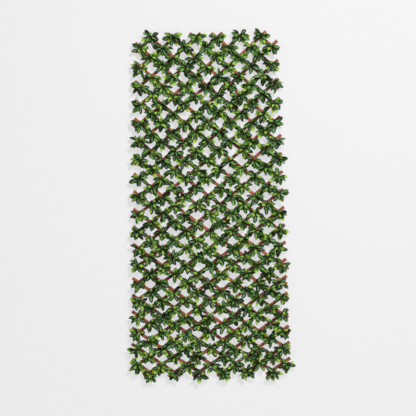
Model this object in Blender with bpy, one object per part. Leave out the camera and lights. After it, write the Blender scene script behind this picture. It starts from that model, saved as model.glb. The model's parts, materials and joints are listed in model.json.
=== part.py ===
"""An expanding timber trellis panel dressed with artificial leaf sprigs.

Two layers of slats cross at 253 pivots. At each crossing a tapered stem stands on the rear slat, passes
through a hole in the front slat and carries a rosette of five leaves, so the front slat is held between the
rear slat and the widening stem. Nine of the sprigs, at the points where the panel is fastened, are separate
pins with a flat head behind the rear slat. The front of the panel faces -Y and +Z is up. The origin is at the
centre pivot, on the plane of the pin heads that rest against the wall.

The slats are slightly bowed, because the panel hangs from its top edge and is drawn out more at the top. The
pivots of all front slats lie on shifted copies of one arc, and those of all rear slats on shifted copies of
another, so every cell is a parallelogram and the panel still folds as one linkage.
"""

import math

import bmesh
import bpy
from mathutils import Vector

MM = 0.001

# The lattice, counted in half cells: seven and six pivots across in turn, and thirty-nine rows.
COLUMNS = 12
ROWS = 38
LINK = 75 * MM  # pivot to pivot along a slat
TOP_SLOPE = math.radians(41.6)  # slat against the horizontal, in the top row
BOTTOM_SLOPE = math.radians(32.8)

# Slats
SLAT_WIDTH = 16.5 * MM
SLAT_THICKNESS = 5 * MM
SLAT_OVERHANG = 38 * MM  # from the last pivot to the sawn end
LINKS_PER_BEND = 3  # a bowed slat is drawn as straight runs of this many links
LAYER_GAP = 0.3 * MM  # between the two layers of slats, and between a pin head and its slat

# Pivots
STEM_ROOT_RADIUS = 1.6 * MM
PIVOT_CLEARANCE = 0.3 * MM
PIVOT_SIDES = 5
HEAD_RADIUS = 6 * MM
HEAD_THICKNESS = 1.2 * MM
HEAD_SIDES = 12

# Sprigs
LEAF_LENGTH = 50 * MM
LEAF_WIDTH = 22 * MM
LEAF_WIDEST_SHARE = 0.56  # of the leaf's length, from the hub
LEAF_FOLD = 1.5 * MM  # the edges of a leaf stand this much proud of its midrib
HUB_RADIUS = 5 * MM
HUB_THICKNESS = 3 * MM
ROSETTE_TILT = math.radians(18)  # the upper leaves lean back towards the slats
TILT_HEADING = math.radians(67)  # the way that they lean, against +X
LEAF_CLEARANCE = 2 * MM  # from the leaning tips to the front slats
ROSETTE_TURN = math.radians(-6)  # in the rosette's own plane: its upper leaves then straddle the stem above
SPRIG_TURN = math.radians(8)  # each sprig is turned by up to this much more

SHARP_ANGLE = math.radians(35)  # edges that turn by more than this stay sharp

# Depths along Y, from the plane of the pin heads towards the front.
REAR_SLAT_BACK = -(HEAD_THICKNESS + LAYER_GAP)
REAR_SLAT_FACE = REAR_SLAT_BACK - SLAT_THICKNESS
FRONT_SLAT_BACK = REAR_SLAT_FACE - LAYER_GAP
FRONT_SLAT_FACE = FRONT_SLAT_BACK - SLAT_THICKNESS
ROSETTE_REACH = HUB_RADIUS + LEAF_LENGTH
HUB_BACK = FRONT_SLAT_FACE - LEAF_CLEARANCE - ROSETTE_REACH * math.sin(ROSETTE_TILT)
HUB_DEPTH = HUB_BACK - HUB_THICKNESS / 2

# The middle pivot, and the change of slope from one row to the next.
MIDDLE = (COLUMNS // 2, ROWS // 2)
MIDDLE_SLOPE = (TOP_SLOPE + BOTTOM_SLOPE) / 2
SLOPE_STEP = (TOP_SLOPE - BOTTOM_SLOPE) / ROWS


def front_line(pivot):
    """The number of the front slat through a pivot, counted from the upper left corner."""
    return pivot[0] + pivot[1]


def rear_line(pivot):
    """The number of the rear slat through a pivot, negative towards the lower left corner."""
    return pivot[0] - pivot[1]


def pivots():
    return [(i, j) for j in range(ROWS + 1) for i in range(COLUMNS + 1) if (i + j) % 2 == 1]


def arc_point(start, end, slope, rise):
    """The walk along an arc of pivots from line start to line end, as (x, z). The slope is that at each link."""
    step = 2 if end > start else -2
    x = z = 0.0
    for line in range(start, end, step):
        heading = slope(line + step / 2)
        x += math.copysign(LINK, step) * math.cos(heading)
        z += math.copysign(LINK, step) * math.sin(heading) * rise
    return x, z


def place(pivot):
    """Where a pivot's axis meets the plane of the pin heads."""
    along_front = arc_point(
        rear_line(MIDDLE),
        rear_line(pivot),
        lambda line: MIDDLE_SLOPE + SLOPE_STEP * (line - rear_line(MIDDLE)),
        1,
    )
    along_rear = arc_point(
        front_line(MIDDLE),
        front_line(pivot),
        lambda line: MIDDLE_SLOPE - SLOPE_STEP * (line - front_line(MIDDLE)),
        -1,
    )
    return Vector((along_front[0] + along_rear[0], 0, along_front[1] + along_rear[1]))


PLACES = {pivot: place(pivot) for pivot in pivots()}


def slats(line_of):
    """The pivots of each slat of one layer, from left to right, by the slat's line."""
    lines = {}
    for pivot in sorted(pivots()):
        lines.setdefault(line_of(pivot), []).append(pivot)
    return lines


def named(prefix, lines):
    """Slat names, numbered from 01 along the panel."""
    return {line: f"{prefix}_{number + 1:02d}" for number, line in enumerate(lines)}


FRONT_SLATS = slats(front_line)
REAR_SLATS = slats(rear_line)
FRONT_NAMES = named("front_slat", sorted(FRONT_SLATS))
REAR_NAMES = named("rear_slat", sorted(REAR_SLATS, reverse=True))

# The pivots whose sprig is a separate pin: the middle one, the top row and the two lower corners.
SPRIG_PINS = {MIDDLE: "sprig_pin_centre"}
SPRIG_PINS.update({(i, 0): f"sprig_pin_top_{(i + 1) // 2}" for i in range(1, COLUMNS, 2)})
SPRIG_PINS[(1, ROWS)] = "sprig_pin_bottom_left"
SPRIG_PINS[(COLUMNS - 1, ROWS)] = "sprig_pin_bottom_right"


def hinges():
    """How the slats hang together as a tree: slat name to (carrying piece, pivot).

    The middle pin carries the two slats through it. Each further slat hangs on one already in the tree, at
    the crossing nearest to its own middle.
    """
    tree = {
        FRONT_NAMES[front_line(MIDDLE)]: (SPRIG_PINS[MIDDLE], MIDDLE),
        REAR_NAMES[rear_line(MIDDLE)]: (SPRIG_PINS[MIDDLE], MIDDLE),
    }
    waiting = {FRONT_NAMES[line]: members for line, members in FRONT_SLATS.items()}
    waiting.update({REAR_NAMES[line]: members for line, members in REAR_SLATS.items()})
    while len(tree) < len(waiting):
        found = {}
        for name, members in waiting.items():
            if name in tree:
                continue
            middle = (len(members) - 1) / 2
            for index in sorted(range(len(members)), key=lambda n: abs(n - middle)):
                pivot = members[index]
                crossing = {FRONT_NAMES[front_line(pivot)], REAR_NAMES[rear_line(pivot)]} - {name}
                carrier = crossing.pop()
                if carrier in tree:
                    found[name] = (carrier, pivot)
                    break
        tree.update(found)
    return tree


def ring(bm, centre, radius, sides, across, up):
    """A closed loop of vertices round centre, in the plane of the directions across and up."""
    turns = [math.tau * (n + 0.5) / sides for n in range(sides)]
    return [bm.verts.new(centre + radius * (math.cos(t) * across + math.sin(t) * up)) for t in turns]


def upright_ring(bm, pivot, depth, radius, sides=PIVOT_SIDES):
    """A ring in the panel's plane, round a pivot's axis."""
    centre = PLACES[pivot] + Vector((0, depth, 0))
    return ring(bm, centre, radius, sides, Vector((1, 0, 0)), Vector((0, 0, 1)))


def wall(bm, loop, other, material=0):
    """A band of faces between two loops of as many vertices."""
    for n in range(len(loop)):
        after = (n + 1) % len(loop)
        bm.faces.new((loop[n], loop[after], other[after], other[n])).material_index = material


def plate(bm, loops):
    """A flat face bounded by the first loop, with the other loops as holes."""
    edges = []
    for loop in loops:
        for n in range(len(loop)):
            pair = (loop[n], loop[(n + 1) % len(loop)])
            edges.append(bm.edges.get(pair) or bm.edges.new(pair))
    bmesh.ops.triangle_fill(bm, use_beauty=True, use_dissolve=False, edges=edges)


def slat_outline(members):
    """The corners of a slat seen from the front, as (x, 0, z), bowed along its pivots."""
    points = [PLACES[pivot] for pivot in members]
    first = (points[1] - points[0]).normalized()
    last = (points[-1] - points[-2]).normalized()
    bends = points[LINKS_PER_BEND : -1 : LINKS_PER_BEND]
    centres = [points[0] - SLAT_OVERHANG * first, *bends, points[-1] + SLAT_OVERHANG * last]
    headings = [first]
    for before, after in zip(centres, centres[2:]):
        headings.append((after - before).normalized())
    headings.append(last)
    sides = [Vector((-heading.z, 0, heading.x)) * SLAT_WIDTH / 2 for heading in headings]
    upper = [centre + side for centre, side in zip(centres, sides)]
    lower = [centre - side for centre, side in zip(centres, sides)]
    return upper + lower[::-1]


def outline_loop(bm, outline, depth):
    return [bm.verts.new(corner + Vector((0, depth, 0))) for corner in outline]


def stem_radius_at(depth):
    """The stem widens evenly from the rear slat's face to the near edge of the tilted hub."""
    near_edge = HUB_BACK + HUB_RADIUS * math.sin(ROSETTE_TILT)
    share = (depth - REAR_SLAT_FACE) / (near_edge - REAR_SLAT_FACE)
    return STEM_ROOT_RADIUS + share * (HUB_RADIUS - STEM_ROOT_RADIUS)


def corner_radius(flat_radius):
    """The corner radius of a hole whose flat sides keep flat_radius clear of its axis."""
    return flat_radius / math.cos(math.pi / PIVOT_SIDES)


FRONT_HOLE_RADIUS = corner_radius(stem_radius_at(FRONT_SLAT_FACE) + PIVOT_CLEARANCE)
REAR_HOLE_RADIUS = corner_radius(STEM_ROOT_RADIUS + PIVOT_CLEARANCE)


def rosette_axes(pivot):
    """(across, up, out) of a rosette's own plane, which leans back at TILT_HEADING."""
    heading = Vector((math.cos(TILT_HEADING), 0, math.sin(TILT_HEADING)))
    up = math.cos(ROSETTE_TILT) * heading + math.sin(ROSETTE_TILT) * Vector((0, 1, 0))
    across = Vector((math.sin(TILT_HEADING), 0, -math.cos(TILT_HEADING)))
    turn = ROSETTE_TURN + SPRIG_TURN * math.sin(math.radians(sprig_phase(pivot)))
    turned_across = math.cos(turn) * across + math.sin(turn) * up
    turned_up = math.cos(turn) * up - math.sin(turn) * across
    return turned_across, turned_up, turned_across.cross(turned_up)


def sprig_phase(pivot):
    """An angle in degrees that differs from sprig to sprig."""
    return (97 * pivot[0] + 151 * pivot[1]) % 360


def add_leaf(bm, centre, heading, side, out, root, next_root):
    """One leaf between two neighbouring corners of the hub, each given as (back, front) vertices."""
    inset = HUB_RADIUS * math.cos(math.pi / PIVOT_SIDES)
    waist = centre + heading * (inset + LEAF_LENGTH * LEAF_WIDEST_SHARE) + out * LEAF_FOLD
    left = bm.verts.new(waist - side * LEAF_WIDTH / 2)
    right = bm.verts.new(waist + side * LEAF_WIDTH / 2)
    tip = bm.verts.new(centre + heading * (inset + LEAF_LENGTH))
    for corners in (
        (root[1], left, tip),
        (root[1], tip, next_root[1]),
        (next_root[1], tip, right),
        (root[0], tip, left),
        (root[0], next_root[0], tip),
        (next_root[0], right, tip),
        (root[0], left, root[1]),
        (next_root[1], right, next_root[0]),
    ):
        bm.faces.new(corners).material_index = 1


def add_sprig(bm, pivot, stem_root):
    """The widening stem on its root ring, the hub, and a rosette of leaves, one on each side of the hub."""
    across, up, out = rosette_axes(pivot)
    centre = PLACES[pivot] + Vector((0, HUB_DEPTH, 0))
    backs = ring(bm, centre - out * HUB_THICKNESS / 2, HUB_RADIUS, PIVOT_SIDES, across, up)
    fronts = ring(bm, centre + out * HUB_THICKNESS / 2, HUB_RADIUS, PIVOT_SIDES, across, up)
    wall(bm, stem_root, backs, material=1)
    bm.faces.new(fronts).material_index = 1
    corners = list(zip(backs, fronts))
    for n in range(PIVOT_SIDES):
        turn = math.tau * (n + 1) / PIVOT_SIDES
        heading = math.cos(turn) * across + math.sin(turn) * up
        side = math.cos(turn) * up - math.sin(turn) * across
        add_leaf(bm, centre, heading, side, out, corners[n], corners[(n + 1) % PIVOT_SIDES])


def front_slat(bm, members):
    """A slat of the front layer, with a hole at each pivot."""
    outline = slat_outline(members)
    back, face = (outline_loop(bm, outline, depth) for depth in (FRONT_SLAT_BACK, FRONT_SLAT_FACE))
    back_loops, face_loops = [back], [face]
    for pivot in members:
        back_loops.append(upright_ring(bm, pivot, FRONT_SLAT_BACK, FRONT_HOLE_RADIUS))
        face_loops.append(upright_ring(bm, pivot, FRONT_SLAT_FACE, FRONT_HOLE_RADIUS))
    finish_slat(bm, back_loops, face_loops, face_loops)


def rear_slat(bm, members):
    """A slat of the rear layer, with a sprig on each pivot or a hole for a sprig pin."""
    outline = slat_outline(members)
    back, face = (outline_loop(bm, outline, depth) for depth in (REAR_SLAT_BACK, REAR_SLAT_FACE))
    back_loops, holed_loops, face_loops = [back], [face], [face]
    for pivot in members:
        if pivot in SPRIG_PINS:
            back_loops.append(upright_ring(bm, pivot, REAR_SLAT_BACK, REAR_HOLE_RADIUS))
            holed_loops.append(upright_ring(bm, pivot, REAR_SLAT_FACE, REAR_HOLE_RADIUS))
            face_loops.append(holed_loops[-1])
        else:
            stem_root = upright_ring(bm, pivot, REAR_SLAT_FACE, STEM_ROOT_RADIUS)
            face_loops.append(stem_root)
            add_sprig(bm, pivot, stem_root)
    finish_slat(bm, back_loops, holed_loops, face_loops)


def finish_slat(bm, back_loops, holed_loops, face_loops):
    """The slat's two broad faces, its edge, and the walls of its holes."""
    for loop, other in zip(back_loops, holed_loops):
        wall(bm, loop, other)
    plate(bm, back_loops)
    plate(bm, face_loops)


def sprig_pin(bm, pivot):
    """A separate pin: a flat head, a shank through the rear slat, and the sprig."""
    head_back = upright_ring(bm, pivot, 0, HEAD_RADIUS, HEAD_SIDES)
    head_face = upright_ring(bm, pivot, -HEAD_THICKNESS, HEAD_RADIUS, HEAD_SIDES)
    shank_root = upright_ring(bm, pivot, -HEAD_THICKNESS, STEM_ROOT_RADIUS)
    stem_root = upright_ring(bm, pivot, REAR_SLAT_FACE, STEM_ROOT_RADIUS)
    wall(bm, head_back, head_face)
    plate(bm, [head_back])
    plate(bm, [head_face, shank_root])
    for face in bm.faces:
        face.material_index = 1
    wall(bm, shank_root, stem_root, material=1)
    add_sprig(bm, pivot, stem_root)


def surface(name, colour, roughness):
    material = bpy.data.materials.new(name)
    material.use_nodes = True
    shader = material.node_tree.nodes["Principled BSDF"]
    shader.inputs["Base Color"].default_value = (*colour, 1)
    shader.inputs["Roughness"].default_value = roughness
    shader.inputs["Metallic"].default_value = 0
    return material


def piece(name, build, where, origin, materials):
    """Builds one closed body about its own hinge axis, and returns its object."""
    bm = bmesh.new()
    build(bm, where)
    bmesh.ops.translate(bm, verts=bm.verts, vec=-origin)
    bmesh.ops.recalc_face_normals(bm, faces=bm.faces)
    mesh = bpy.data.meshes.new(name)
    bm.to_mesh(mesh)
    bm.free()
    mesh.shade_smooth()
    mesh.set_sharp_from_angle(angle=SHARP_ANGLE)
    for material in materials:
        mesh.materials.append(material)
    obj = bpy.data.objects.new(name, mesh)
    bpy.context.scene.collection.objects.link(obj)
    return obj


def hang(objects, origins, name, carrier):
    """Parents a piece to what carries it, at its own hinge."""
    objects[name].parent = objects[carrier]
    objects[name].location = origins[name] - origins[carrier]


def main():
    for obj in list(bpy.data.objects):
        bpy.data.objects.remove(obj)
    timber = surface("stained slat timber", (0.26, 0.07, 0.045), 0.6)
    leaf_plastic = surface("moulded leaf plastic", (0.03, 0.11, 0.03), 0.4)
    materials = [timber, leaf_plastic]

    tree = hinges()
    origins = {name: PLACES[pivot] for name, (_, pivot) in tree.items()}
    origins.update({name: PLACES[pivot] for pivot, name in SPRIG_PINS.items()})
    objects = {}
    for pivot, name in SPRIG_PINS.items():
        objects[name] = piece(name, sprig_pin, pivot, origins[name], materials)
    for line, members in FRONT_SLATS.items():
        name = FRONT_NAMES[line]
        objects[name] = piece(name, front_slat, members, origins[name], materials)
    for line, members in REAR_SLATS.items():
        name = REAR_NAMES[line]
        objects[name] = piece(name, rear_slat, members, origins[name], materials)

    for name, (carrier, _) in tree.items():
        hang(objects, origins, name, carrier)
    for pivot, name in SPRIG_PINS.items():
        if pivot != MIDDLE:
            hang(objects, origins, name, REAR_NAMES[rear_line(pivot)])


main()
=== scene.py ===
"""Dresses an expanding timber trellis panel: stained slats in two layers, and a leaf sprig at every crossing."""

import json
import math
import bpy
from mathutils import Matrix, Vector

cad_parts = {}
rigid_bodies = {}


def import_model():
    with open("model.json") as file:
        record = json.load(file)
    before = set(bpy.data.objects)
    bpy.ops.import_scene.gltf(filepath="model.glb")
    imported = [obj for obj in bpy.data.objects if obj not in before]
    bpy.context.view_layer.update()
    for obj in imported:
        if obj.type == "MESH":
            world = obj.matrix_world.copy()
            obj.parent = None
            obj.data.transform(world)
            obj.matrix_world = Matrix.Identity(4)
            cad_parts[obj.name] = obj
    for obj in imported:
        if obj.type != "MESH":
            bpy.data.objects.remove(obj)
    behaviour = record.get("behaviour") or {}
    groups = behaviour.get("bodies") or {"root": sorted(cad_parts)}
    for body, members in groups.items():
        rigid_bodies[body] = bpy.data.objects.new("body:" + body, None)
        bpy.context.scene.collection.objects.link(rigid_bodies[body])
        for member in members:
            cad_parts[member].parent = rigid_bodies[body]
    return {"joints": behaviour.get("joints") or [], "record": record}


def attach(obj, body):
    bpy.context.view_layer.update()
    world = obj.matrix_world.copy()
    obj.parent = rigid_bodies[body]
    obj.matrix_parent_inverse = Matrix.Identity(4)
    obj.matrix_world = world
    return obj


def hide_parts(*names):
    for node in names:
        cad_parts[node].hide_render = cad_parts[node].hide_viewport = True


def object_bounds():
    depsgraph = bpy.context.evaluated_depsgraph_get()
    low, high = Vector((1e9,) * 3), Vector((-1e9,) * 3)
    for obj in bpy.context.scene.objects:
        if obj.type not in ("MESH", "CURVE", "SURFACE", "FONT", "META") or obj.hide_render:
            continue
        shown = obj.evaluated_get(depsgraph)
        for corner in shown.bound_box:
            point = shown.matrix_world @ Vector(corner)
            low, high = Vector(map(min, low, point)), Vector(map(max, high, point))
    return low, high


bl_info = {
    "name": "Leaf trellis panel",
    "version": (1, 0, 0),
    "blender": (4, 5, 0),
    "location": "3D View > Sidebar > Trellis",
    "description": "Makes the slats, the leaf sprigs and the studio of an expanding trellis panel",
    "category": "Add Mesh",
}

import bpy
from bpy.props import FloatProperty, FloatVectorProperty, IntProperty, PointerProperty
from mathutils import Matrix, Quaternion, Vector

for startup_object in list(bpy.data.objects):
    bpy.data.objects.remove(startup_object)

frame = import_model()
CAD_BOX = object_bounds()

MM = 0.001
WELD = 0.02 * MM
PHOTO_WIDTH = 416  # pixels, and as many high
PIXEL_MM = 5.16  # of wall

# The lattice of the frame: seven and six pivots across in turn, and thirty-nine rows, counted in half cells.
COLUMNS = 12
ROWS = 38
TOP_SLOPE = math.radians(41.6)
BOTTOM_SLOPE = math.radians(32.8)
MIDDLE = (COLUMNS // 2, ROWS // 2)
MIDDLE_SLOPE = (TOP_SLOPE + BOTTOM_SLOPE) / 2
SLOPE_STEP = (TOP_SLOPE - BOTTOM_SLOPE) / ROWS
CENTRE_BODY = "centre_pin"
HINGE_TOLERANCE = 0.1 * MM

# Node types used again and again.
MATH = "ShaderNodeMath"
VECTOR_MATH = "ShaderNodeVectorMath"
COMBINE = "ShaderNodeCombineXYZ"
SEPARATE = "ShaderNodeSeparateXYZ"
MAP_RANGE = "ShaderNodeMapRange"
FLOAT_CURVE = "ShaderNodeFloatCurve"
MIX = "ShaderNodeMix"
NOISE = "ShaderNodeTexNoise"
RANDOM = "FunctionNodeRandomValue"
STORE = "GeometryNodeStoreNamedAttribute"
READ = "GeometryNodeInputNamedAttribute"
MOVE = "GeometryNodeSetPosition"
ON_POINTS = "GeometryNodeInstanceOnPoints"
JOIN = "GeometryNodeJoinGeometry"
REALIZE = "GeometryNodeRealizeInstances"
SET_MATERIAL = "GeometryNodeSetMaterial"

# Attributes that one tree writes and another tree or a material reads.
GRAIN = "grain_mm"  # along the slat, and round its section
LEAF_MAP = "UVMap"
TONE = "tone"
UNDERSIDE = "underside"
ROSETTE = "rosette"
SWAY = "sway"
DRILLED = "drilled"

# Half width and thickness of a leaf against its length, from the foot of its stalk to its tip. Its rows of faces
# crowd towards the tip by a power, because its outline turns most there.
LEAF_OUTLINE = ((0, 0), (0.16, 0.13), (0.32, 0.6), (0.56, 1), (0.78, 0.84), (0.93, 0.4), (1, 0))
LEAF_BULK = ((0, 0), (0.05, 1), (0.16, 1), (0.35, 0.7), (0.8, 0.5), (1, 0))
TIP_CROWDING = 1.4

# The whorls of a sprig, from the slats outwards. Length and width are shares of the sizes that a user sets. Each
# leaf is scaled across, along and through by chance, and takes its place on the ramp of greens by chance.
WHORLS = {
    # The inner leaves take only the darkest greens: partly the deep green of old leaves, partly painted shade at the
    # rosette's core.
    "Inner leaves": {
        "shape": {"Length": 0.6, "Width": 0.85, "Fold": 0.3, "Lift": 0.1, "Droop": 0.1, "Rows": 6},
        "habit": {
            "Spread": math.radians(270),
            "Rise": math.radians(-4),
            "Height": -6 * MM,
            "Turn scatter": math.radians(25),
            "Rise scatter": math.radians(4),
            "Roll scatter": math.radians(15),
            "Smallest": (0.8, 0.8, 0.8),
            "Largest": (1.1, 1.1, 1.2),
            "Darkest": 0.0,
            "Palest": 0.1,
        },
    },
    "Lower leaves": {
        "shape": {"Length": 1, "Width": 1.04, "Fold": 0.42, "Lift": 0.12, "Droop": 0.22, "Rows": 8},
        "habit": {
            "Spread": math.radians(215),
            "Rise": 0,
            "Height": 0,
            "Turn scatter": math.radians(16),
            "Rise scatter": math.radians(4),
            "Roll scatter": math.radians(28),
            "Smallest": (0.8, 0.8, 0.7),
            "Largest": (1.1, 1.1, 1.3),
            "Darkest": 0.0,
            "Palest": 0.42,
        },
    },
    "Upper leaves": {
        "shape": {"Length": 0.92, "Width": 0.94, "Fold": 0.5, "Lift": 0.12, "Droop": 0.32, "Rows": 7},
        "habit": {
            "Spread": math.radians(226),
            "Rise": math.radians(6),
            "Height": 4 * MM,
            "Turn scatter": math.radians(36),
            "Rise scatter": math.radians(5),
            "Roll scatter": math.radians(30),
            "Smallest": (0.75, 0.7, 0.7),
            "Largest": (1.1, 1.1, 1.2),
            "Darkest": 0.05,
            "Palest": 0.62,
        },
    },
    "Young leaves": {
        "shape": {"Length": 0.56, "Width": 0.62, "Fold": 0.45, "Lift": 0.1, "Droop": 0.3, "Rows": 6},
        "habit": {
            "Spread": math.radians(250),
            "Rise": math.radians(12),
            "Height": 7 * MM,
            "Turn scatter": math.radians(60),
            "Rise scatter": math.radians(7),
            "Roll scatter": math.radians(30),
            "Smallest": (0.7, 0.7, 0.8),
            "Largest": (1.15, 1.15, 1.3),
            "Darkest": 0.25,
            "Palest": 0.85,
        },
    },
}

# Radius of a stem and its bend towards its rosette, against its run from the wall. It is straight in the slats.
STEM_BULK = ((0, 0.62), (0.35, 0.62), (0.8, 0.8), (1, 1))
STEM_BEND = ((0, 0), (0.38, 0), (0.7, 0.5), (1, 1))
SHOOT_LIFT = 3.5 * MM
SHOOT_STRETCH = (1.15, 1.15, 2.6)  # the growing tip, against a ball as thick as the stem
HEAD_FACE = 0.88  # width of a head's chamfered face against the head's own
DRILL_REACH = 3  # length of a drill against the thickness of a slat

# Each body has its own seed, and a sprig's draws and each whorl's add their own numbers to it.
CENTRE_SEED = 7
FIRST_SEED = 1000
SEED_STEP = 31
SPRIG_DRAWS = (50, 51)
WHORL_DRAWS = 100
GOLDEN_SHARE = 0.618034  # its multiples spread most evenly from 0 to 1

# The studio, in metres and watts. The wall reaches this far up and to either side, and the floor this far forward
# and back. It lies below the panel's foot, which sinks as the panel is drawn out to its tallest.
WALL_REACH = 4.0
FLOOR_REACH = 8.0
FLOOR_DROP = 0.6
WALL_GAP = 0.5 * MM
LAMPS = {  # power, width and place
    "key": (172, 0.6, (1.5, -4.2, 2.3)),
    "fill": (17, 3.0, (-2.5, -4.5, 0.4)),
    "back": (40, 2.5, (-1.5, 3.5, 1.5)),
}
WORLD_LIGHT = 0.18  # its light on the panel
WORLD_SEEN = 0.6  # its light where the camera sees it, also in reflections
SENSOR_WIDTH = 36
VIEW_LIMIT = 60
AIM = Vector((-3.2 * MM, 0, 27.4 * MM))  # the middle of the photograph, as a place on the wall


def linear(hex_colour):
    """A colour written as sRGB hex, as linear red, green, blue and alpha."""
    shares = [int(hex_colour[n : n + 2], 16) / 255 for n in (1, 3, 5)]
    return tuple(c / 12.92 if c <= 0.04045 else ((c + 0.055) / 1.055) ** 2.4 for c in shares) + (1.0,)


def length(name, description, millimetres):
    """A property that holds a length."""
    return FloatProperty(
        name=name, description=description, default=millimetres * MM, min=0, unit="LENGTH", subtype="DISTANCE"
    )


def angle(name, description, degrees):
    """A property that holds an angle."""
    return FloatProperty(name=name, description=description, default=math.radians(degrees), subtype="ANGLE")


def colour(name, description, hex_colour):
    """A property that holds a colour."""
    return FloatVectorProperty(
        name=name, description=description, default=linear(hex_colour), size=4, min=0, max=1, subtype="COLOR"
    )


class SlatSettings(bpy.types.PropertyGroup):
    """Sizes and stains of the slats"""

    link: length("Link", "Distance from pivot to pivot along a slat", 75)
    width: length("Width", "Width of a slat", 16.5)
    thickness: length("Thickness", "Thickness of a slat", 5)
    overhang: length("Overhang", "Slat beyond its last pivot", 38)
    arris: length("Arris", "Radius of the worn long edges", 0.7)
    hole: length("Hole", "Radius of the holes that the sprigs pass through", 2.9)
    layer_gap: length("Layer gap", "Gap between the two layers", 0.3)
    light_stain: colour("Light stain", "Stain on the pale wood between the grain lines", "#D07559")
    dark_stain: colour("Dark stain", "Stain in the grain lines", "#914737")
    worn_stain: colour("Worn stain", "Paler stain where the wood is worn", "#C98468")


class SprigSettings(bpy.types.PropertyGroup):
    """Sizes, habit and colours of the leaf sprigs"""

    leaf_length: length("Leaf length", "Length of the lower leaves, with their stalks", 51)
    leaf_width: length("Leaf width", "Greatest width of the lower leaves", 21.5)
    leaf_thickness: length("Leaf thickness", "Greatest thickness of a leaf", 1.1)
    inner_leaves: IntProperty(name="Inner leaves", description="Short leaves next to the slats", default=5, min=2)
    lower_leaves: IntProperty(name="Lower leaves", description="Leaves in the lower whorl", default=4, min=2)
    upper_leaves: IntProperty(name="Upper leaves", description="Leaves in the upper whorl", default=5, min=2)
    young_leaves: IntProperty(name="Young leaves", description="Leaves at the growing tip", default=4, min=2)
    foot_size: FloatProperty(
        name="Foot size", description="Scale of the leaves at the foot of the panel", default=0.97, min=0
    )
    top_size: FloatProperty(
        name="Top size", description="Scale of the leaves at the top of the panel", default=1.06, min=0
    )
    tilt: angle("Tilt", "How far a rosette leans back towards the slats", 18)
    heading: angle("Heading", "The way that it leans, against the horizontal", 67)
    turn: angle("Turn", "Each sprig is turned about its own axis by up to this much", 35)
    nod: angle("Nod", "Each sprig leans to any side by up to this much", 7)
    sag: length("Sag", "How far a rosette hangs below its crossing", 6)
    sway: length("Sway", "Each sprig stands off that place by up to this much", 8)
    hub_depth: length("Hub depth", "From the wall to the middle of a rosette", 32.3)
    stem_radius: length("Stem radius", "Radius of the stem where the leaves leave it", 2.4)
    head_radius: length("Head radius", "Radius of the flat head behind the slats", 6)
    head_thickness: length("Head thickness", "Thickness of that head", 1.2)
    old_leaf: colour("Old leaf", "Deep green of the lower leaves", "#081702")
    new_leaf: colour("New leaf", "Mid green of the upper leaves", "#447F36")
    young_leaf: colour("Young leaf", "Lime of the tips and the youngest leaves", "#B4DE49")
    underside: colour("Underside", "Dull green under the leaves", "#3A5228")
    mottle: colour("Mottle", "Darker green of the blotches", "#2C5420")
    # Painted highlight: a pale sheen streak beside the midrib that stands in for the leaves' gloss.
    painted_sheen: colour("Streak", "Pale streak beside the midrib of some leaves", "#A3BF97")
    rib: colour("Rib", "Pale green of the midrib and the side veins", "#ACC288")
    twig: colour("Twig", "Brown-green of the moulded twig", "#2C2A17")
    bark: colour("Bark", "Paler brown of the streaks on the twig", "#453F25")


class StudioSettings(bpy.types.PropertyGroup):
    """Colours and framing of the studio"""

    wall: colour("Wall", "Matt white of the wall", "#F1F1F2")
    floor: colour("Floor", "Pale floor", "#E9E7E4")
    clean_share: FloatProperty(
        name="Clean share",
        description="Share of the wall's colour that the camera sees free of shadow",
        default=0.71,
        min=0,
        max=1,
        subtype="FACTOR",
    )
    distance: length("Distance", "From the camera to the wall", 6000)
    seen_width: length("Seen width", "Width of wall that the photograph shows", PHOTO_WIDTH * PIXEL_MM)
    roll: angle("Roll", "Roll of the camera in the photograph", -0.84)


def front_line(pivot):
    """The number of the front slat through a pivot, counted from the upper left corner."""
    return pivot[0] + pivot[1]


def rear_line(pivot):
    """The number of the rear slat through a pivot, negative towards the lower left corner."""
    return pivot[0] - pivot[1]


def pivots():
    """Every crossing of the lattice, as half cells from its upper left corner."""
    return [(i, j) for j in range(ROWS + 1) for i in range(COLUMNS + 1) if (i + j) % 2 == 1]


def arc_point(start, end, slope, rise, link):
    """The walk along an arc of pivots from line start to line end, as (x, z)."""
    step = 2 if end > start else -2
    x = z = 0.0
    for line in range(start, end, step):
        heading = slope(line + step / 2)
        x += math.copysign(link, step) * math.cos(heading)
        z += math.copysign(link, step) * math.sin(heading) * rise
    return x, z


def place(pivot, link):
    """Where a pivot's axis meets the wall."""
    along_front = arc_point(
        rear_line(MIDDLE),
        rear_line(pivot),
        lambda line: MIDDLE_SLOPE + SLOPE_STEP * (line - rear_line(MIDDLE)),
        1,
        link,
    )
    along_rear = arc_point(
        front_line(MIDDLE),
        front_line(pivot),
        lambda line: MIDDLE_SLOPE - SLOPE_STEP * (line - front_line(MIDDLE)),
        -1,
        link,
    )
    return Vector((along_front[0] + along_rear[0], 0, along_front[1] + along_rear[1]))


def lines_of(line_of):
    """The pivots of each slat of one layer, from left to right, by the slat's line."""
    lines = {}
    for pivot in sorted(pivots()):
        lines.setdefault(line_of(pivot), []).append(pivot)
    return lines


def numbered(prefix, lines):
    """The name of each slat of one layer, by its line."""
    return {line: f"{prefix}_{number + 1:02d}" for number, line in enumerate(lines)}


FRONT_LINES = lines_of(front_line)
REAR_LINES = lines_of(rear_line)
FRONT_BODIES = numbered("front_slat", sorted(FRONT_LINES))
REAR_BODIES = numbered("rear_slat", sorted(REAR_LINES, reverse=True))


def check_lattice(link):
    """Stops the script if the lattice worked out here isn't the frame's own."""
    places = [place(pivot, link) for pivot in pivots()]
    for joint in frame["joints"]:
        hinge = Vector(joint["pos_m"])
        if min((hinge - p).length for p in places) > HINGE_TOLERANCE:
            raise ValueError(f"{joint['name']} lies on no pivot of the lattice")


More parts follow.
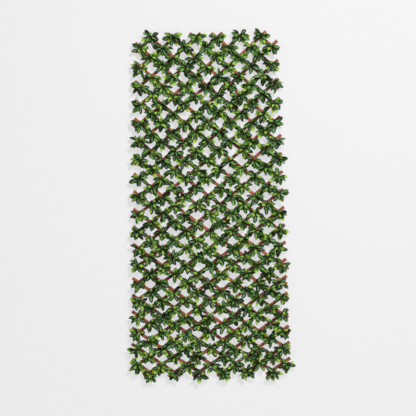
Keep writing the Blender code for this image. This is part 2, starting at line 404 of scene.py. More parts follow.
def feed(node, inputs):
    """Links or sets a node's sockets.

    The inputs are in order, or in a dict by socket name. A node among them stands for its first output in use, and a
    list feeds one socket several times.
    """
    sockets = {socket.name: socket for socket in reversed(node.inputs) if socket.enabled}
    for key, given in inputs.items() if isinstance(inputs, dict) else enumerate(inputs):
        socket = node.inputs[key] if isinstance(key, int) else sockets[key]
        for value in given if isinstance(given, list) else [given]:
            if isinstance(value, bpy.types.Node):
                value = next(output for output in value.outputs if output.enabled)
            if isinstance(value, bpy.types.NodeSocket):
                node.id_data.links.new(value, socket)
            else:
                socket.default_value = value


def add(tree, kind, inputs=(), **settings):
    """Adds one node: its settings first, then what feeds its sockets."""
    node = tree.nodes.new(kind)
    for name, value in settings.items():
        setattr(node, name, value)
    feed(node, inputs)
    return node


def draw_curve(mapping, points):
    """Draws a curve through its points, from the first to the last."""
    curve = mapping.curves[0]
    curve.points[0].location = points[0]
    curve.points[1].location = points[-1]
    for point in points[1:-1]:
        curve.points.new(*point)
    mapping.update()


def inputs_from(settings, kind, names):
    """A tree's inputs for some of the settings, with their names and values."""
    return [(name.replace("_", " ").capitalize(), kind, getattr(settings, name)) for name in names]


def group(name, inputs):
    """An empty geometry tree, its inputs and its last node. An input has a name, a kind and perhaps a value."""
    tree = bpy.data.node_groups.new(name, "GeometryNodeTree")
    for socket_name, kind, *values in inputs:
        socket = tree.interface.new_socket(socket_name, in_out="INPUT", socket_type=f"NodeSocket{kind}")
        for value in values:
            socket.default_value = value
    tree.interface.new_socket("Geometry", in_out="OUTPUT", socket_type="NodeSocketGeometry")
    return tree, tree.nodes.new("NodeGroupInput").outputs, tree.nodes.new("NodeGroupOutput")


def rosette_rotation(settings):
    """The turn that lays +X, +Y and +Z on a rosette's across, up and outward directions."""
    heading = Vector((math.cos(settings.heading), 0, math.sin(settings.heading)))
    up = math.cos(settings.tilt) * heading + math.sin(settings.tilt) * Vector((0, 1, 0))
    across = Vector((math.sin(settings.heading), 0, -math.cos(settings.heading)))
    return Matrix((across, up, across.cross(up))).transposed().to_quaternion()


def leaf_tree():
    """One leaf along +Y, its upper side to +Z: a closed lens, folded along its midrib, that narrows to a stalk."""
    numbers = ("Length", "Width", "Thickness", "Fold", "Lift", "Droop")
    tree, given, result = group("Leaf", [("Rows", "Int"), *((name, "Float") for name in numbers)])
    grid = add(tree, "GeometryNodeMeshGrid", {"Size X": 2, "Size Y": 1, "Vertices X": 5, "Vertices Y": given["Rows"]})
    side, along, _ = add(tree, SEPARATE, (add(tree, "GeometryNodeInputPosition"),)).outputs
    rest = add(tree, MATH, (0.5, along), operation="SUBTRACT")
    share = add(tree, MATH, (1, add(tree, MATH, (rest, TIP_CROWDING), operation="POWER")), operation="SUBTRACT")
    u = add(tree, MATH, (side, 0.5, 0.5), operation="MULTIPLY_ADD")
    mapped = add(
        tree,
        STORE,
        {"Geometry": grid, "Name": LEAF_MAP, "Value": add(tree, COMBINE, (u, share))},
        data_type="FLOAT2",
        domain="CORNER",
    )
    outline = add(tree, FLOAT_CURVE, {"Value": share})
    draw_curve(outline.mapping, LEAF_OUTLINE)
    bulk = add(tree, FLOAT_CURVE, {"Value": share})
    draw_curve(bulk.mapping, LEAF_BULK)
    half_width = add(tree, MATH, (given["Width"], 0.5), operation="MULTIPLY")
    half_width = add(tree, MATH, (half_width, outline), operation="MULTIPLY")
    x = add(tree, MATH, (side, half_width), operation="MULTIPLY")
    y = add(tree, MATH, (share, given["Length"]), operation="MULTIPLY")
    droop = add(tree, MATH, (share, given["Droop"]), operation="MULTIPLY")
    slope = add(tree, MATH, (given["Lift"], droop), operation="SUBTRACT")
    fold = add(tree, MATH, (add(tree, MATH, (x,), operation="ABSOLUTE"), given["Fold"]), operation="MULTIPLY")
    middle = add(tree, MATH, (y, slope, fold), operation="MULTIPLY_ADD")
    lens = add(tree, MATH, (1, add(tree, MATH, (side, side), operation="MULTIPLY")), operation="SUBTRACT")
    half_thickness = add(tree, MATH, (given["Thickness"], 0.5), operation="MULTIPLY")
    half_thickness = add(tree, MATH, (half_thickness, bulk), operation="MULTIPLY")
    half_thickness = add(tree, MATH, (half_thickness, lens), operation="MULTIPLY")
    skins = []
    for operation, underside in (("ADD", 0), ("SUBTRACT", 1)):
        z = add(tree, MATH, (middle, half_thickness), operation=operation)
        target = add(tree, COMBINE, (x, y, z))
        skin = add(tree, MOVE, {"Geometry": mapped, "Position": target})
        if underside:
            skin = add(tree, "GeometryNodeFlipFaces", (skin,))
        skins.append(add(tree, STORE, {"Geometry": skin, "Name": UNDERSIDE, "Value": underside}, domain="FACE"))
    joined = add(tree, JOIN, (skins,))
    welded = add(tree, "GeometryNodeMergeByDistance", {"Geometry": joined, "Distance": WELD})
    feed(result, (add(tree, "GeometryNodeSetShadeSmooth", (welded,)),))
    return tree


def whorl_tree():
    """Leaves fanned round every sprig: each point is copied, and the copies turn about the rosette's axis."""
    numbers = ("Middle", "Spread", "Rise", "Height", "Darkest", "Palest", "Foot size", "Top size")
    scatters = ("Turn scatter", "Rise scatter", "Roll scatter")
    tree, given, result = group(
        "Whorl",
        [
            ("Points", "Geometry"),
            ("Leaf", "Geometry"),
            ("Count", "Int"),
            ("Seed", "Int"),
            ("Smallest", "Vector"),
            ("Largest", "Vector"),
            *((name, "Float") for name in (*numbers, *scatters)),
        ],
    )
    copies = add(tree, "GeometryNodeDuplicateElements", {"Geometry": given["Points"], "Amount": given["Count"]})
    seeds = [add(tree, MATH, (given["Seed"], number)) for number in range(5)]
    scattered = []
    for seed, name in zip(seeds, scatters):
        least = add(tree, MATH, (given[name], -1), operation="MULTIPLY")
        scattered.append(add(tree, RANDOM, {"Min": least, "Max": given[name], "Seed": seed}))
    gaps = add(tree, MATH, (given["Count"], 1), operation="SUBTRACT")
    share = add(tree, MATH, (copies.outputs["Duplicate Index"], gaps), operation="DIVIDE")
    share = add(tree, MATH, (share, 0.5), operation="SUBTRACT")
    turn = add(tree, MATH, (share, given["Spread"], given["Middle"]), operation="MULTIPLY_ADD")
    turn = add(tree, MATH, (turn, scattered[0]))
    rise = add(tree, MATH, (given["Rise"], scattered[1]))
    turned = add(tree, READ, {"Name": ROSETTE}, data_type="QUATERNION")
    height = add(tree, COMBINE, {"Z": given["Height"]})
    raised = add(tree, "FunctionNodeRotateVector", (height, turned))
    for axis, amount in (((0, 0, 1), turn), ((1, 0, 0), rise), ((0, 1, 0), scattered[2])):
        by = add(tree, "FunctionNodeAxisAngleToRotation", {"Axis": axis, "Angle": amount})
        turned = add(tree, "FunctionNodeRotateRotation", (turned, by), rotation_space="LOCAL")
    points = add(tree, MOVE, {"Geometry": copies, "Offset": raised})
    tone = add(tree, RANDOM, {"Min": given["Darkest"], "Max": given["Palest"], "Seed": seeds[3]})
    points = add(tree, STORE, {"Geometry": points, "Name": TONE, "Value": tone})
    size = add(
        tree, RANDOM, {"Min": given["Smallest"], "Max": given["Largest"], "Seed": seeds[4]}, data_type="FLOAT_VECTOR"
    )
    # The sprigs grow a little fuller from the foot of the panel to its top.
    level = add(tree, SEPARATE, (add(tree, "GeometryNodeInputPosition"),)).outputs["Z"]
    fullness = add(
        tree,
        MAP_RANGE,
        {
            "Value": level,
            "From Min": CAD_BOX[0].z,
            "From Max": CAD_BOX[1].z,
            "To Min": given["Foot size"],
            "To Max": given["Top size"],
        },
    )
    size = add(tree, VECTOR_MATH, {"Vector": size, "Scale": fullness}, operation="SCALE")
    leaves = add(tree, ON_POINTS, {"Points": points, "Instance": given["Leaf"], "Rotation": turned, "Scale": size})
    feed(result, (leaves,))
    return tree


def sprig_tree(settings, leaf_material, twig_material):
    """Every sprig of one body: on points at the wall, a head, a stem, a shoot and whorls of leaves."""
    leaf_group = leaf_tree()
    whorl_group = whorl_tree()
    counts = ("inner_leaves", "lower_leaves", "upper_leaves", "young_leaves")
    leaf_sizes = ("leaf_length", "leaf_width", "leaf_thickness", "foot_size", "top_size")
    habits = ("turn", "nod", "sag", "sway", "hub_depth")
    twig_sizes = ("stem_radius", "head_radius", "head_thickness")
    tree, given, result = group(
        "Sprigs",
        [
            ("Points", "Geometry"),
            *inputs_from(settings, "Int", counts),
            *inputs_from(settings, "Float", (*leaf_sizes, *habits, *twig_sizes)),
            ("Rosette", "Rotation", rosette_rotation(settings).to_euler()),
            ("Fan middle", "Float", -(math.pi / 2 + settings.heading)),
            ("Seed", "Int"),
        ],
    )
    # Each sprig hangs a little off its place, and is turned and nods a little.
    aside, lean = (
        add(
            tree,
            RANDOM,
            {"Min": (-1, -1, -1), "Max": (1, 1, 1), "Seed": add(tree, MATH, (given["Seed"], draw))},
            data_type="FLOAT_VECTOR",
        )
        for draw in SPRIG_DRAWS
    )
    amount = add(tree, COMBINE, {"X": given["Sway"], "Z": given["Sway"]})
    drop = add(tree, COMBINE, {"Z": add(tree, MATH, (given["Sag"], -1), operation="MULTIPLY")})
    sway = add(tree, VECTOR_MATH, (aside, amount, drop), operation="MULTIPLY_ADD")
    amount = add(tree, COMBINE, (given["Nod"], given["Nod"], given["Turn"]))
    nod = add(tree, VECTOR_MATH, (lean, amount), operation="MULTIPLY")
    nod = add(tree, "FunctionNodeEulerToRotation", (nod,))
    turned = add(tree, "FunctionNodeRotateRotation", (given["Rosette"], nod), rotation_space="LOCAL")
    points = given["Points"]
    for name, kind, value in ((SWAY, "FLOAT_VECTOR", sway), (ROSETTE, "QUATERNION", turned)):
        points = add(tree, STORE, {"Geometry": points, "Name": name, "Value": value}, data_type=kind)
    sway = add(tree, READ, {"Name": SWAY}, data_type="FLOAT_VECTOR")
    depth = add(tree, MATH, (given["Hub depth"], -1), operation="MULTIPLY")
    out = add(tree, COMBINE, {"Y": depth})
    hub = add(tree, VECTOR_MATH, (out, sway))
    hubs = add(tree, MOVE, {"Geometry": points, "Offset": hub})

    whorls = []
    for number, (name, whorl) in enumerate(WHORLS.items()):
        shape = dict(whorl["shape"])
        for socket, full in (("Length", given["Leaf length"]), ("Width", given["Leaf width"])):
            shape[socket] = add(tree, MATH, (full, shape[socket]), operation="MULTIPLY")
        shape["Thickness"] = given["Leaf thickness"]
        habit = dict(whorl["habit"])
        habit["Points"] = hubs
        habit["Leaf"] = add(tree, "GeometryNodeGroup", shape, node_tree=leaf_group)
        habit["Count"] = given[name]
        habit["Middle"] = given["Fan middle"]
        habit["Foot size"] = given["Foot size"]
        habit["Top size"] = given["Top size"]
        habit["Seed"] = add(tree, MATH, (given["Seed"], WHORL_DRAWS * number))
        whorls.append(add(tree, "GeometryNodeGroup", habit, node_tree=whorl_group))
    leaves = add(tree, JOIN, (whorls,))
    leaves = add(tree, REALIZE, (leaves,))
    leaves = add(tree, SET_MATERIAL, {"Geometry": leaves, "Material": leaf_material})

    # The stem runs straight through the slats, and then bends to its rosette.
    back = add(tree, MATH, (given["Head thickness"], -0.5), operation="MULTIPLY")
    start = add(tree, COMBINE, {"Y": back})
    run = add(tree, "GeometryNodeCurvePrimitiveLine", {"Start": start, "End": out})
    run = add(tree, "GeometryNodeResampleCurve", {"Curve": run, "Count": 10})
    runs = add(tree, ON_POINTS, {"Points": points, "Instance": run})
    runs = add(tree, REALIZE, (runs,))
    factor = add(tree, "GeometryNodeSplineParameter").outputs["Factor"]
    bulk = add(tree, FLOAT_CURVE, {"Value": factor})
    draw_curve(bulk.mapping, STEM_BULK)
    bend = add(tree, FLOAT_CURVE, {"Value": factor})
    draw_curve(bend.mapping, STEM_BEND)
    bend = add(tree, VECTOR_MATH, {"Vector": sway, "Scale": bend}, operation="SCALE")
    runs = add(tree, MOVE, {"Geometry": runs, "Offset": bend})
    radius = add(tree, MATH, (given["Stem radius"], bulk), operation="MULTIPLY")
    section = add(tree, "GeometryNodeCurvePrimitiveCircle", {"Resolution": 7, "Radius": 1})
    stems = add(
        tree, "GeometryNodeCurveToMesh", {"Curve": runs, "Profile Curve": section, "Scale": radius, "Fill Caps": True}
    )
    shoot = add(tree, "GeometryNodeMeshUVSphere", {"Segments": 8, "Rings": 6, "Radius": given["Stem radius"]})
    shoot = add(
        tree, "GeometryNodeTransform", {"Geometry": shoot, "Translation": (0, 0, SHOOT_LIFT), "Scale": SHOOT_STRETCH}
    )
    turned = add(tree, READ, {"Name": ROSETTE}, data_type="QUATERNION")
    shoots = add(tree, ON_POINTS, {"Points": hubs, "Instance": shoot, "Rotation": turned})
    head = add(
        tree,
        "GeometryNodeMeshCylinder",
        {"Vertices": 16, "Side Segments": 2, "Radius": given["Head radius"], "Depth": given["Head thickness"]},
    )
    chamfered = add(
        tree,
        "GeometryNodeScaleElements",
        {"Geometry": head, "Selection": head.outputs["Top"], "Scale": HEAD_FACE},
        domain="FACE",
    )
    chamfered = add(
        tree,
        "GeometryNodeTransform",
        {"Geometry": chamfered, "Translation": start, "Rotation": (math.radians(-90), 0, 0)},
    )
    heads = add(tree, ON_POINTS, {"Points": points, "Instance": chamfered})
    round_parts = add(tree, JOIN, ([stems, shoots],))
    round_parts = add(tree, "GeometryNodeSetShadeSmooth", (round_parts,))
    twigs = add(tree, JOIN, ([round_parts, heads],))
    twigs = add(tree, REALIZE, (twigs,))
    twigs = add(tree, SET_MATERIAL, {"Geometry": twigs, "Material": twig_material})
    feed(result, (add(tree, JOIN, ([twigs, leaves],)),))
    return tree


def slat_tree(settings, timber_material):
    """One slat along a line of points, with worn edges, sawn ends and a drilled hole at each marked point."""
    sizes = inputs_from(settings, "Float", ("width", "thickness", "arris", "hole"))
    tree, given, result = group("Slat", [("Points", "Geometry"), *sizes, ("Tone", "Float")])
    line = add(tree, "GeometryNodeMeshToCurve", (given["Points"],))
    line = add(tree, "GeometryNodeSetCurveNormal", {"Curve": line, "Normal": (0, -1, 0)}, mode="FREE")
    along = add(tree, MATH, (add(tree, "GeometryNodeSplineParameter").outputs["Length"], MM), operation="DIVIDE")
    section = add(
        tree, "GeometryNodeCurvePrimitiveQuadrilateral", {"Width": given["Thickness"], "Height": given["Width"]}
    )
    section = add(
        tree, "GeometryNodeFilletCurve", {"Curve": section, "Radius": given["Arris"], "Count": 2}, mode="POLY"
    )
    across = add(tree, SEPARATE, (add(tree, "GeometryNodeInputPosition"),))
    skew = 1.7  # the section's two sides show different grain
    across = add(tree, MATH, (across.outputs["X"], skew, across.outputs["Y"]), operation="MULTIPLY_ADD")
    across = add(tree, MATH, (across, MM), operation="DIVIDE")
    line, section = (
        add(tree, STORE, {"Geometry": curve, "Name": name, "Value": value})
        for curve, name, value in ((line, "along", along), (section, "across", across))
    )
    timber = add(tree, "GeometryNodeCurveToMesh", {"Curve": line, "Profile Curve": section, "Fill Caps": True})
    along, across = (add(tree, READ, {"Name": name}) for name in ("along", "across"))
    timber = add(
        tree,
        STORE,
        {"Geometry": timber, "Name": GRAIN, "Value": add(tree, COMBINE, {"X": along, "Y": across, "Z": given["Tone"]})},
        data_type="FLOAT_VECTOR",
        domain="CORNER",
    )
    drilled = add(tree, READ, {"Name": DRILLED}, data_type="BOOLEAN")
    drill = add(
        tree,
        "GeometryNodeMeshCylinder",
        {
            "Vertices": 14,
            "Radius": given["Hole"],
            "Depth": add(tree, MATH, (given["Thickness"], DRILL_REACH), operation="MULTIPLY"),
        },
    )
    drills = add(
        tree,
        ON_POINTS,
        {"Points": given["Points"], "Selection": drilled, "Instance": drill, "Rotation": (math.radians(90), 0, 0)},
    )
    drills = add(tree, REALIZE, (drills,))
    bored = add(tree, "GeometryNodeMeshBoolean", {"Mesh 1": timber, "Mesh 2": drills}, operation="DIFFERENCE")
    finished = add(tree, REALIZE, (bored,))
    finished = add(tree, SET_MATERIAL, {"Geometry": finished, "Material": timber_material})
    feed(result, (finished,))
    return tree


def material(name):
    """A new node material, with its tree and its shader node."""
    made = bpy.data.materials.new(name)
    made.use_nodes = True
    return made, made.node_tree, made.node_tree.nodes["Principled BSDF"]


def stained_softwood(settings):
    """Sawn softwood, dip-stained red-brown: a dull surface with fine dark grain lines along the slat."""
    made, tree, shader = material("stained_sawn_softwood")
    grain_run_mm, grain_width_mm = 90, 1.6  # the width is coarser than the real 0.5 mm, which would not show
    patch_mm = 22
    relief_mm = 0.12
    grain_shift, patch_shift = 40, 17  # how far apart in the noise two slats may lie
    place_mm = add(tree, "ShaderNodeAttribute", attribute_name=GRAIN).outputs["Vector"]
    lines = add(
        tree, VECTOR_MATH, (place_mm, (1 / grain_run_mm, 1 / grain_width_mm, grain_shift)), operation="MULTIPLY"
    )
    lines = add(tree, NOISE, {"Vector": lines, "Scale": 1, "Detail": 4, "Roughness": 0.6})
    patches = add(tree, VECTOR_MATH, (place_mm, (1 / patch_mm, 1 / patch_mm, patch_shift)), operation="MULTIPLY")
    patches = add(tree, NOISE, {"Vector": patches, "Scale": 1, "Detail": 2})
    grain = add(tree, MAP_RANGE, {"Value": lines, "From Min": 0.36, "From Max": 0.66})
    stain = add(
        tree,
        MIX,
        {"Factor": grain, "A": tuple(settings.dark_stain), "B": tuple(settings.light_stain)},
        data_type="RGBA",
    )
    worn = add(tree, MAP_RANGE, {"Value": patches, "From Min": 0.4, "From Max": 0.8, "To Max": 0.3})
    stain = add(tree, MIX, {"Factor": worn, "A": stain, "B": tuple(settings.worn_stain)}, data_type="RGBA")
    tone = add(tree, SEPARATE, (place_mm,)).outputs["Z"]
    shade = add(tree, MAP_RANGE, {"Value": tone, "To Min": 0.75, "To Max": 1.12})
    stain = add(tree, "ShaderNodeHueSaturation", {"Color": stain, "Value": shade})
    bump = add(tree, "ShaderNodeBump", {"Height": lines, "Strength": 0.6, "Distance": relief_mm * MM})
    feed(shader, {"Base Color": stain, "Roughness": 0.62, "Specular IOR Level": 0.3, "Normal": bump})
    return made


def printed_leaf(settings):
    """Moulded polyethylene leaf, printed in greens: a glossy skin with a pale midrib, side veins and lime tips."""
    made, tree, shader = material("printed_polyethylene_leaf")
    mottle_mm, relief_mm = 6, 1
    heart_gain, painted_shade_loss = 0.46, 0.26  # steps of the greens' ramp; the loss is painted shade at the leaf's margin and foot
    hue_draw, tip_draw = 41, 23  # the tone times each, less its whole part, is a new chance from 0 to 1
    tip_rarity, tip_blend = 1.8, 0.3
    veins, slant = 8, 1.5
    rib_strength, dull_strength = 0.16, 0.8
    roughness, dull_roughness, mottle_roughness = 0.16, 0.25, 0.12
    mottle_relief = 0.4
    uv = add(tree, "ShaderNodeUVMap", uv_map=LEAF_MAP)
    u, share, _ = add(tree, SEPARATE, (uv,)).outputs
    side = add(tree, MATH, (u, 2, -1), operation="MULTIPLY_ADD")
    side = add(tree, MATH, (side,), operation="ABSOLUTE")
    tone = add(tree, "ShaderNodeAttribute", attribute_name=TONE).outputs["Fac"]
    underside = add(tree, "ShaderNodeAttribute", attribute_name=UNDERSIDE).outputs["Fac"]
    spot = add(tree, "ShaderNodeTexCoord").outputs["Object"]
    mottle = add(tree, NOISE, {"Vector": spot, "Scale": 1 / (mottle_mm * MM), "Detail": 3})

    # Three greens by the leaf's tone, darker at the margin and the foot than at the heart of the blade: at the foot
    # painted shade, as of the rosette's dark core, and at the margin partly a dark printed rim and partly painted shade
    # between overlapping leaves.
    across, outward = (
        add(tree, MAP_RANGE, {"Value": value, "From Min": least, "From Max": most}, interpolation_type="SMOOTHSTEP")
        for value, least, most in ((side, 0.9, 0.3), (share, 0.16, 0.6))
    )
    unshaded_heart = add(tree, MATH, (across, outward), operation="MULTIPLY")
    depth = add(tree, MATH, (unshaded_heart, heart_gain, tone), operation="MULTIPLY_ADD")
    depth = add(tree, MATH, (depth, painted_shade_loss), operation="SUBTRACT", use_clamp=True)
    green = add(tree, "ShaderNodeValToRGB", {"Fac": depth})
    stops = green.color_ramp.elements
    stops[0].color = settings.old_leaf
    stops[1].color = settings.young_leaf
    stops.new(0.24).color = settings.old_leaf
    stops.new(0.6).color = settings.new_leaf
    mottled = add(tree, MAP_RANGE, {"Value": mottle, "From Min": 0.4, "From Max": 0.75, "To Max": 0.35})
    green = add(tree, MIX, {"Factor": mottled, "A": green, "B": tuple(settings.mottle)}, data_type="RGBA")

    # Each leaf has its own hue, and some have a painted highlight: a pale sheen streak beside the midrib.
    chance, luck = (
        add(tree, MATH, (add(tree, MATH, (tone, draw), operation="MULTIPLY"),), operation="FRACT")
        for draw in (hue_draw, tip_draw)
    )
    hue = add(tree, MAP_RANGE, {"Value": chance, "To Min": 0.475, "To Max": 0.525})
    green = add(tree, "ShaderNodeHueSaturation", {"Hue": hue, "Color": green})
    middle, foot, top = (
        add(tree, MAP_RANGE, {"Value": value, "From Min": least, "From Max": most}, interpolation_type="SMOOTHSTEP")
        for value, least, most in ((side, 0.6, 0.1), (share, 0.2, 0.45), (share, 0.95, 0.7))
    )
    painted_sheen = add(tree, MATH, (add(tree, MATH, (middle, foot), operation="MULTIPLY"), top), operation="MULTIPLY")
    amount = add(tree, MAP_RANGE, {"Value": chance, "From Min": 0.35, "To Max": 0.62})
    painted_sheen = add(tree, MATH, (painted_sheen, amount), operation="MULTIPLY")
    green = add(tree, MIX, {"Factor": painted_sheen, "A": green, "B": tuple(settings.painted_sheen)}, data_type="RGBA")

    # Lime tips and rims, on some leaves more than on others.
    luck = add(tree, MATH, (luck, tip_rarity), operation="POWER")
    young = add(tree, MAP_RANGE, {"Value": tone, "From Min": 0.49, "From Max": 0.79})
    luck = add(tree, MATH, (luck, young), operation="MAXIMUM")
    start = add(tree, MAP_RANGE, {"Value": luck, "To Min": 1.05, "To Max": 0.5})
    end = add(tree, MATH, (start, tip_blend))
    tip = add(tree, MAP_RANGE, {"Value": share, "From Min": start, "From Max": end}, interpolation_type="SMOOTHSTEP")
    rim_start = add(tree, MAP_RANGE, {"Value": luck, "To Min": 1.0, "To Max": 0.6})
    rim = add(
        tree, MAP_RANGE, {"Value": side, "From Min": rim_start, "From Max": 1.15}, interpolation_type="SMOOTHSTEP"
    )
    lime = add(tree, MATH, (tip, rim), operation="MAXIMUM")
    green = add(tree, MIX, {"Factor": lime, "A": green, "B": tuple(settings.young_leaf)}, data_type="RGBA")

    # A pale midrib and slanting side veins.
    midrib = add(tree, MAP_RANGE, {"Value": side, "From Min": 0.1, "From Max": 0.03})
    phase = add(tree, MATH, (side, -slant / veins, share), operation="MULTIPLY_ADD")
    wave = add(tree, MATH, (add(tree, MATH, (phase, math.tau * veins), operation="MULTIPLY"),), operation="SINE")
    vein = add(tree, MAP_RANGE, {"Value": wave, "From Min": 0.75, "To Max": 0.3})
    ribs = add(tree, MATH, (midrib, vein), operation="MAXIMUM")
    pale = add(tree, MATH, (ribs, rib_strength), operation="MULTIPLY")
    green = add(tree, MIX, {"Factor": pale, "A": green, "B": tuple(settings.rib)}, data_type="RGBA")

    dull = add(tree, MATH, (underside, dull_strength), operation="MULTIPLY")
    green = add(tree, MIX, {"Factor": dull, "A": green, "B": tuple(settings.underside)}, data_type="RGBA")
    gloss = add(tree, MATH, (underside, dull_roughness, roughness), operation="MULTIPLY_ADD")
    gloss = add(tree, MATH, (mottle, mottle_roughness, gloss), operation="MULTIPLY_ADD")
    height = add(tree, MATH, (mottle, mottle_relief), operation="MULTIPLY")
    height = add(tree, MATH, (height, ribs), operation="SUBTRACT")
    bump = add(tree, "ShaderNodeBump", {"Height": height, "Strength": 1, "Distance": relief_mm * MM})
    feed(shader, {"Base Color": green, "Roughness": gloss, "IOR": 1.45, "Specular IOR Level": 0.11, "Normal": bump})
    return made


def moulded_twig(settings):
    """Moulded polyethylene twig: a dull brown-green rod with the faint streaks of a bark texture."""
    made, tree, shader = material("moulded_polyethylene_twig")
    streak_mm, relief_mm = 3, 0.2
    spot = add(tree, "ShaderNodeTexCoord").outputs["Object"]
    streaks = add(tree, NOISE, {"Vector": spot, "Scale": 1 / (streak_mm * MM), "Detail": 3})
    share = add(tree, MAP_RANGE, {"Value": streaks, "From Min": 0.35, "From Max": 0.7})
    bark = add(tree, MIX, {"Factor": share, "A": tuple(settings.twig), "B": tuple(settings.bark)}, data_type="RGBA")
    bump = add(tree, "ShaderNodeBump", {"Height": streaks, "Strength": 0.5, "Distance": relief_mm * MM})
    feed(shader, {"Base Color": bark, "Roughness": 0.55, "Normal": bump})
    return made


def grown(name, points, edges, tree, values, drilled=()):
    """An object of points and edges, grown by a geometry tree into a plain mesh."""
    seed_mesh = bpy.data.meshes.new(name)
    seed_mesh.from_pydata(points, edges, [])
    for item, value in zip(seed_mesh.attributes.new(DRILLED, "BOOLEAN", "POINT").data, drilled):
        item.value = value
    piece = bpy.data.objects.new(name, seed_mesh)
    bpy.context.scene.collection.objects.link(piece)
    modifier = piece.modifiers.new(tree.name, "NODES")
    modifier.node_group = tree
    sockets = {item.name: item.identifier for item in tree.interface.items_tree if item.in_out == "INPUT"}
    for socket_name, value in values.items():
        modifier[sockets[socket_name]] = value
    depsgraph = bpy.context.evaluated_depsgraph_get()
    mesh = bpy.data.meshes.new_from_object(
        piece.evaluated_get(depsgraph), preserve_all_data_layers=True, depsgraph=depsgraph
    )
    piece.modifiers.clear()
    piece.data = mesh
    bpy.data.meshes.remove(seed_mesh)
    mesh.name = name
    return piece


def spread_share(number):
    """A share from 0 to 1 for each number, far from its neighbours' shares."""
    return (number * GOLDEN_SHARE) % 1


def slat_piece(name, body, members, depth, settings, tree, drilled, number):
    """One slat of either layer, whose middle plane stands at a depth in front of the wall."""
    points = [place(pivot, settings.link) - Vector((0, depth, 0)) for pivot in members]
    first = (points[1] - points[0]).normalized()
    last = (points[-1] - points[-2]).normalized()
    points = [points[0] - settings.overhang * first, *points, points[-1] + settings.overhang * last]
    edges = [(n, n + 1) for n in range(len(points) - 1)]
    holes = [False, *[drilled] * len(members), False]
    piece = grown(name, points, edges, tree, {"Tone": spread_share(number)}, holes)
    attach(piece, body)
    return piece


def sprig_piece(name, body, members, link, tree, number):
    """All the sprigs of one body, as one mesh."""
    points = [place(pivot, link) for pivot in members]
    piece = grown(name, points, [], tree, {"Seed": number})
    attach(piece, body)
    return piece


class TRELLIS_OT_slats(bpy.types.Operator):
    """Make the slats of both layers"""

    bl_idname = "trellis.slats"
    bl_label = "Slats"

    def execute(self, context):
        settings = context.scene.trellis_slats
        sprigs = context.scene.trellis_sprigs
        check_lattice(settings.link)
        tree = slat_tree(settings, stained_softwood(settings))
        rear_depth = sprigs.head_thickness + settings.layer_gap + settings.thickness / 2
        front_depth = rear_depth + settings.thickness + settings.layer_gap
        for lines, bodies, depth, drilled in (
            (FRONT_LINES, FRONT_BODIES, front_depth, True),
            (REAR_LINES, REAR_BODIES, rear_depth, False),
        ):
            for line, members in lines.items():
                body = bodies[line]
                name = f"{body}_timber"
                piece = slat_piece(name, body, members, depth, settings, tree, drilled, line)
                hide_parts(body)
        return {"FINISHED"}


class TRELLIS_OT_sprigs(bpy.types.Operator):
    """Make the leaf sprigs, which ride with the rear slats and the centre pin"""

    bl_idname = "trellis.sprigs"
    bl_label = "Leaf sprigs"

    def execute(self, context):
        settings = context.scene.trellis_sprigs
        link = context.scene.trellis_slats.link
        tree = sprig_tree(settings, printed_leaf(settings), moulded_twig(settings))
        pieces = {CENTRE_BODY: sprig_piece("centre_sprig", CENTRE_BODY, [MIDDLE], link, tree, CENTRE_SEED)}
        for line, members in REAR_LINES.items():
            body = REAR_BODIES[line]
            members = [pivot for pivot in members if pivot != MIDDLE]
            seed = FIRST_SEED + SEED_STEP * line
            pieces[body] = sprig_piece(f"{body}_sprigs", body, members, link, tree, seed)
        for body, nodes in frame["record"]["behaviour"]["bodies"].items():
            pins = [node for node in nodes if node.startswith("sprig_pin")]
            if pins:
                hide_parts(*pins)
        return {"FINISHED"}


def plane(name, corners, surface):
    """One flat piece of the stage."""
    mesh = bpy.data.meshes.new(name)
    mesh.from_pydata(corners, [], [(0, 1, 2, 3)])
    mesh.materials.append(surface)
    made = bpy.data.objects.new(name, mesh)
    bpy.context.scene.collection.objects.link(made)


def seen_ray(tree, path):
    """One for a ray of the camera's, straight, by reflection or through glass, and nought for one of the light's."""
    seen = add(tree, MATH, (path["Is Camera Ray"], path["Is Glossy Ray"]), operation="MAXIMUM")
    return add(tree, MATH, (seen, path["Is Transmission Ray"]), operation="MAXIMUM")


def wall_paint(paint, clean_share):
    """Matt wall paint. It is clear from behind, so that the panel's back can be seen, and lets all lamps through."""
    made, tree, shader = material("matt_wall_paint")
    feed(shader, {"Base Color": paint, "Roughness": 0.9})
    path = add(tree, "ShaderNodeLightPath").outputs
    seen = seen_ray(tree, path)
    clean = add(tree, MATH, (seen, clean_share), operation="MULTIPLY")
    glow = add(tree, "ShaderNodeEmission", {"Color": paint})
    lit = add(tree, "ShaderNodeMixShader", (clean, shader, glow))
    behind = add(tree, "ShaderNodeNewGeometry").outputs["Backfacing"]
    clear = add(tree, MATH, (behind, path["Is Shadow Ray"]), operation="MAXIMUM")
    surface = add(tree, "ShaderNodeMixShader", (clear, lit, add(tree, "ShaderNodeBsdfTransparent")))
    feed(tree.nodes["Material Output"], {"Surface": surface})
    return made


def lamp(name, power, width, place_m):
    """A soft square lamp that points at the middle of the panel."""
    light = bpy.data.lights.new(name, "AREA")
    light.energy = power
    light.size = width
    made = bpy.data.objects.new(name, light)
    made.location = place_m
    made.rotation_mode = "QUATERNION"
    made.rotation_quaternion = (-Vector(place_m)).to_track_quat("-Z", "Y")
    bpy.context.scene.collection.objects.link(made)


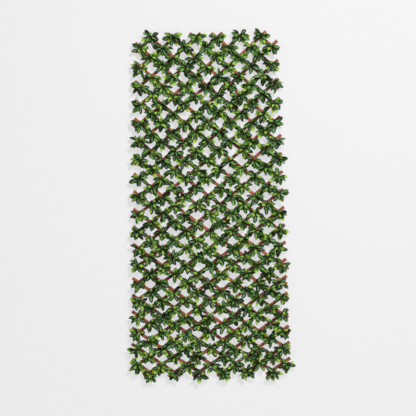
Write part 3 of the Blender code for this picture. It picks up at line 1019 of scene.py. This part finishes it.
class TRELLIS_OT_studio(bpy.types.Operator):
    """Make the wall, the floor, the lights and the camera"""

    bl_idname = "trellis.studio"
    bl_label = "Studio"

    def execute(self, context):
        settings = context.scene.trellis_studio
        floor_z = CAD_BOX[0].z - FLOOR_DROP
        floor_paint, _, floor_shader = material("pale_floor")
        feed(floor_shader, {"Base Color": settings.floor, "Roughness": 0.8})
        square = ((-1, -1), (1, -1), (1, 1), (-1, 1))
        corners = [(x * WALL_REACH, WALL_GAP, WALL_REACH if z > 0 else floor_z) for x, z in square]
        plane("wall", corners, wall_paint(tuple(settings.wall), settings.clean_share))
        corners = [(x * WALL_REACH, y * FLOOR_REACH, floor_z) for x, y in square]
        plane("floor", corners, floor_paint)
        for name, (power, width, place_m) in LAMPS.items():
            lamp(name, power, width, place_m)
        world = bpy.data.worlds.new("studio")
        context.scene.world = world
        world.use_nodes = True
        tree = world.node_tree
        path = add(tree, "ShaderNodeLightPath").outputs
        seen = seen_ray(tree, path)
        strength = add(tree, MAP_RANGE, {"Value": seen, "To Min": WORLD_LIGHT, "To Max": WORLD_SEEN})
        feed(tree.nodes["Background"], {"Color": (1, 1, 1, 1), "Strength": strength})
        context.scene.view_settings.view_transform = "Standard"
        self.add_camera(context, settings)
        return {"FINISHED"}

    def add_camera(self, context, settings):
        """Place the camera where the photograph was taken from"""
        data = bpy.data.cameras.new("camera")
        data.sensor_width = SENSOR_WIDTH
        data.lens = data.sensor_width * settings.distance / settings.seen_width
        data.clip_end = VIEW_LIMIT
        camera = bpy.data.objects.new("camera", data)
        camera.location = AIM - Vector((0, settings.distance, 0))
        camera.rotation_mode = "QUATERNION"
        roll = Quaternion((0, 1, 0), -settings.roll)
        camera.rotation_quaternion = roll @ Vector((0, 1, 0)).to_track_quat("-Z", "Y")
        context.scene.collection.objects.link(camera)
        context.scene.camera = camera


class TRELLIS_PT_panel(bpy.types.Panel):
    """The trellis tab of the sidebar"""

    bl_idname = "TRELLIS_PT_panel"
    bl_label = "Leaf trellis"
    bl_space_type = "VIEW_3D"
    bl_region_type = "UI"
    bl_category = "Trellis"

    def draw(self, context):
        for operator in OPERATORS:
            self.layout.operator(operator.bl_idname)
        for settings in (context.scene.trellis_slats, context.scene.trellis_sprigs, context.scene.trellis_studio):
            box = self.layout.box()
            for name in settings.__annotations__:
                box.prop(settings, name)


OPERATORS = (TRELLIS_OT_slats, TRELLIS_OT_sprigs, TRELLIS_OT_studio)
CLASSES = (SlatSettings, SprigSettings, StudioSettings, *OPERATORS, TRELLIS_PT_panel)


def register():
    for item in CLASSES:
        bpy.utils.register_class(item)
    bpy.types.Scene.trellis_slats = PointerProperty(type=SlatSettings)
    bpy.types.Scene.trellis_sprigs = PointerProperty(type=SprigSettings)
    bpy.types.Scene.trellis_studio = PointerProperty(type=StudioSettings)


def unregister():
    del bpy.types.Scene.trellis_studio
    del bpy.types.Scene.trellis_sprigs
    del bpy.types.Scene.trellis_slats
    for item in reversed(CLASSES):
        bpy.utils.unregister_class(item)


def main():
    register()
    bpy.ops.trellis.slats()
    bpy.ops.trellis.sprigs()
    bpy.ops.trellis.studio()


if __name__ == "__main__":
    main()
